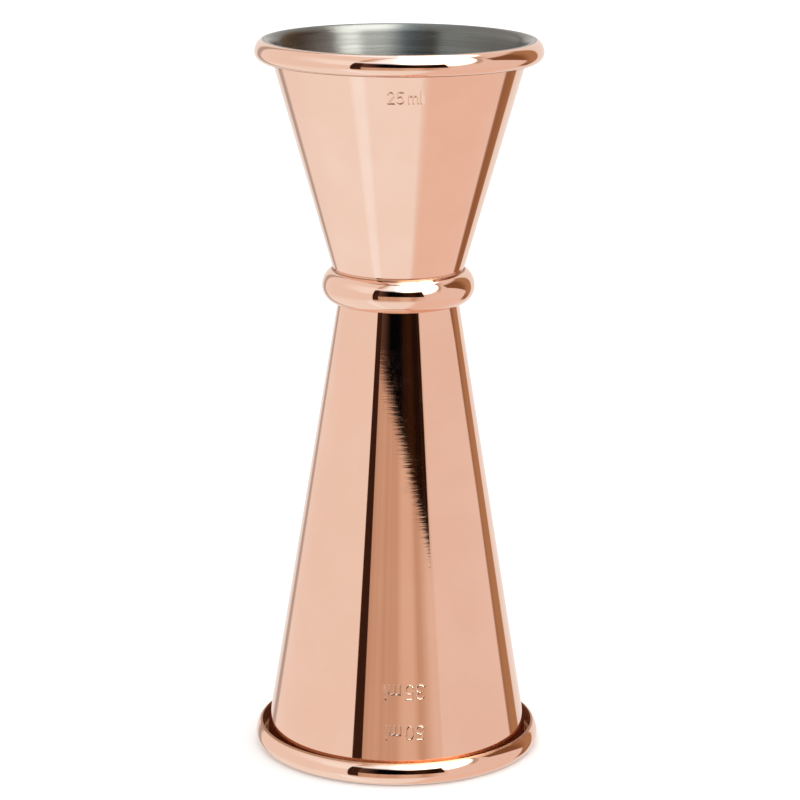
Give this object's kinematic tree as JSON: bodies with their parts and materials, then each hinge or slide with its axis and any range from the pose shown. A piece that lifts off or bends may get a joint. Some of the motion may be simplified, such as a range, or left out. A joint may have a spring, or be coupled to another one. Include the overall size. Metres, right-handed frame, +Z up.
{
  "type": "bar jigger",
  "caption": "Double-ended bar jigger with a small measuring cone above a large inverted one, joined at a half-round waist collar, with rolled rims and copper-plated steel.",
  "frame": {"origin": "centre of the circle on which the large cup's rolled rim rests, on the surface the jigger stands on", "axes": "+Z up along the common axis of both cups, towards the small cup's open mouth; +X to the right of the measure marks and -Y towards a viewer facing the marks"},
  "size_m": [0.0452, 0.0452, 0.1128],
  "materials": {
    "copper_plated_cup": "drawn stainless steel, mirror-polished rose-copper plate outside, bare circumferentially brushed steel inside",
    "copper_plated_collar": "formed steel band, mirror-polished rose-copper plate",
    "braze_filler": "dull silver-bearing braze, hidden inside the joint"
  },
  "bodies": {
    "root": {"small_cup": "copper_plated_cup", "large_cup": "copper_plated_cup", "waist_collar": "copper_plated_collar", "floor_braze": "braze_filler", "upper_collar_braze": "braze_filler", "lower_collar_braze": "braze_filler"}
  },
  "joints": []
}
